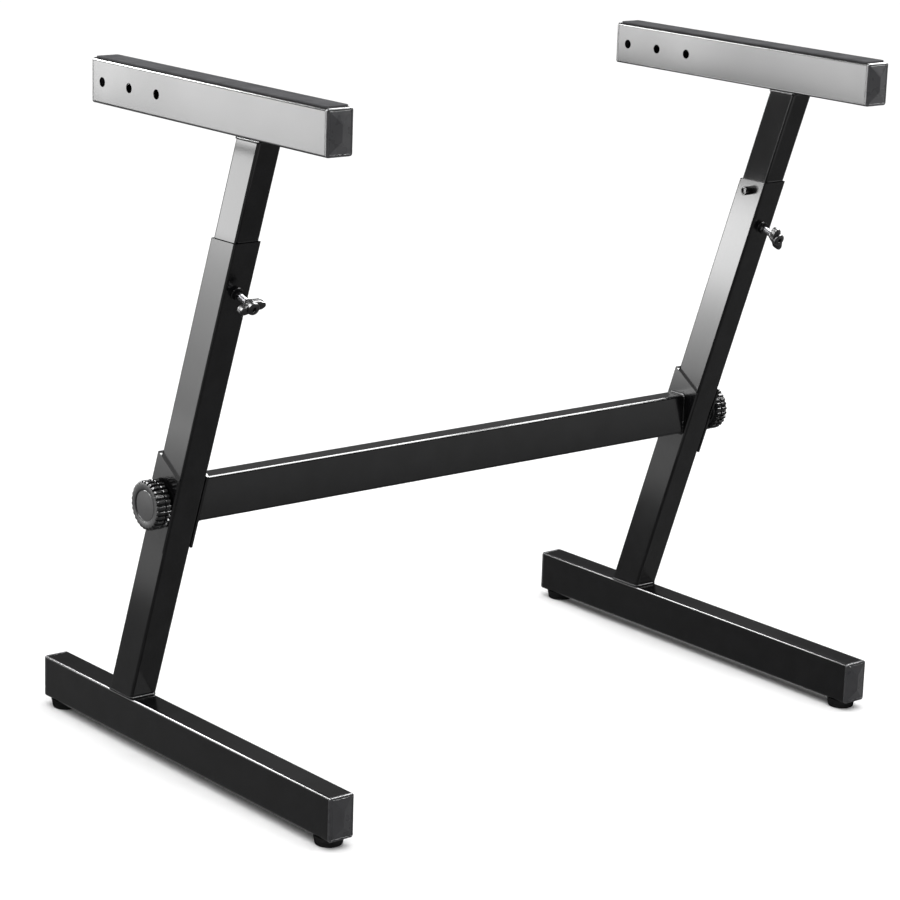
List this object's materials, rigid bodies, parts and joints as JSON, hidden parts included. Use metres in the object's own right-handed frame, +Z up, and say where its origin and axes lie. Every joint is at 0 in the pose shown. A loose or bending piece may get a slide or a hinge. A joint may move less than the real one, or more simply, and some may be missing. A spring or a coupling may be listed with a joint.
{
  "type": "keyboard stand",
  "caption": "Black Z-frame keyboard stand: two leaning end frames with long feet, height-adjustable arms with grey rubber strips, a crossbar, lock knobs and clamp screws.",
  "frame": {"origin": "on the floor, in the middle of the stand's bounding box", "axes": "+X along the crossbar from the left end frame to the right, -Y towards the front where the legs lean and the clamp screws sit, +Z up"},
  "size_m": [0.8642, 0.572, 0.784],
  "materials": {
    "black_paint": "gloss black powder coat",
    "cap_plastic": "fine-grained black plastic",
    "pad_rubber": "matte black rubber",
    "strip_rubber": "matte dark grey rubber",
    "glide_plastic": "plain black nylon",
    "knob_plastic": "satin black plastic",
    "dark_steel": "black-oxide steel",
    "zinc_steel": "zinc-plated steel"
  },
  "bodies": {
    "base": {"foot_tube_left": "black_paint", "foot_tube_right": "black_paint", "foot_cap_front_left": "cap_plastic", "foot_cap_front_right": "cap_plastic", "foot_cap_rear_left": "cap_plastic", "foot_cap_rear_right": "cap_plastic", "floor_pad_front_left": "pad_rubber", "floor_pad_front_right": "pad_rubber", "floor_pad_rear_left": "pad_rubber", "floor_pad_rear_right": "pad_rubber", "floor_pad_screws": "zinc_steel", "leg_tube_left": "black_paint", "leg_tube_right": "black_paint", "guide_bush_left": "glide_plastic", "guide_bush_right": "glide_plastic", "bracket_left": "black_paint", "bracket_right": "black_paint", "crossbar": "black_paint", "leg_spacers": "zinc_steel", "bracket_nuts": "zinc_steel", "clamp_boss_left": "black_paint", "clamp_boss_right": "black_paint", "index_barrel_left": "black_paint", "index_barrel_right": "black_paint"},
    "upper_left": {"inner_tube_left": "black_paint", "inner_plug_left": "glide_plastic", "arm_tube_left": "black_paint", "arm_cap_front_left": "cap_plastic", "arm_cap_rear_left": "cap_plastic", "arm_strip_left": "strip_rubber"},
    "knob_left": {"knob_left": "knob_plastic", "knob_bolt_left": "zinc_steel", "knob_washer_left": "zinc_steel"},
    "clamp_left": {"clamp_screw_left": "dark_steel", "clamp_handle_left": "knob_plastic"},
    "index_left": {"index_pin_left": "zinc_steel", "index_button_left": "knob_plastic"},
    "upper_right": {"inner_tube_right": "black_paint", "inner_plug_right": "glide_plastic", "arm_tube_right": "black_paint", "arm_cap_front_right": "cap_plastic", "arm_cap_rear_right": "cap_plastic", "arm_strip_right": "strip_rubber"},
    "knob_right": {"knob_right": "knob_plastic", "knob_bolt_right": "zinc_steel", "knob_washer_right": "zinc_steel"},
    "clamp_right": {"clamp_screw_right": "dark_steel", "clamp_handle_right": "knob_plastic"},
    "index_right": {"index_pin_right": "zinc_steel", "index_button_right": "knob_plastic"}
  },
  "joints": [
    {"name": "height_left", "type": "slide", "parent": "base", "child": "upper_left", "axis": [0, -0.3256, 0.9455], "range_m": [0, 0.12]},
    {"name": "knob_left_turn", "type": "hinge", "parent": "base", "child": "knob_left", "pos_m": [-0.39, 0.03195, 0.308], "axis": [-1, 0, 0], "range_deg": [0, 720]},
    {"name": "clamp_left_turn", "type": "hinge", "parent": "base", "child": "clamp_left", "pos_m": [-0.39, -0.05756, 0.56794], "axis": [0, -0.9455, -0.3256], "range_deg": [0, 720]},
    {"name": "index_left_pull", "type": "slide", "parent": "base", "child": "index_left", "axis": [1, 0, 0], "range_m": [-0.004, 0.002]},
    {"name": "height_right", "type": "slide", "parent": "base", "child": "upper_right", "axis": [0, -0.3256, 0.9455], "range_m": [0, 0.12]},
    {"name": "knob_right_turn", "type": "hinge", "parent": "base", "child": "knob_right", "pos_m": [0.39, 0.03195, 0.308], "axis": [1, 0, 0], "range_deg": [0, 720]},
    {"name": "clamp_right_turn", "type": "hinge", "parent": "base", "child": "clamp_right", "pos_m": [0.39, -0.05756, 0.56794], "axis": [0, -0.9455, -0.3256], "range_deg": [0, 720]},
    {"name": "index_right_pull", "type": "slide", "parent": "base", "child": "index_right", "axis": [-1, 0, 0], "range_m": [-0.004, 0.002]}
  ]
}
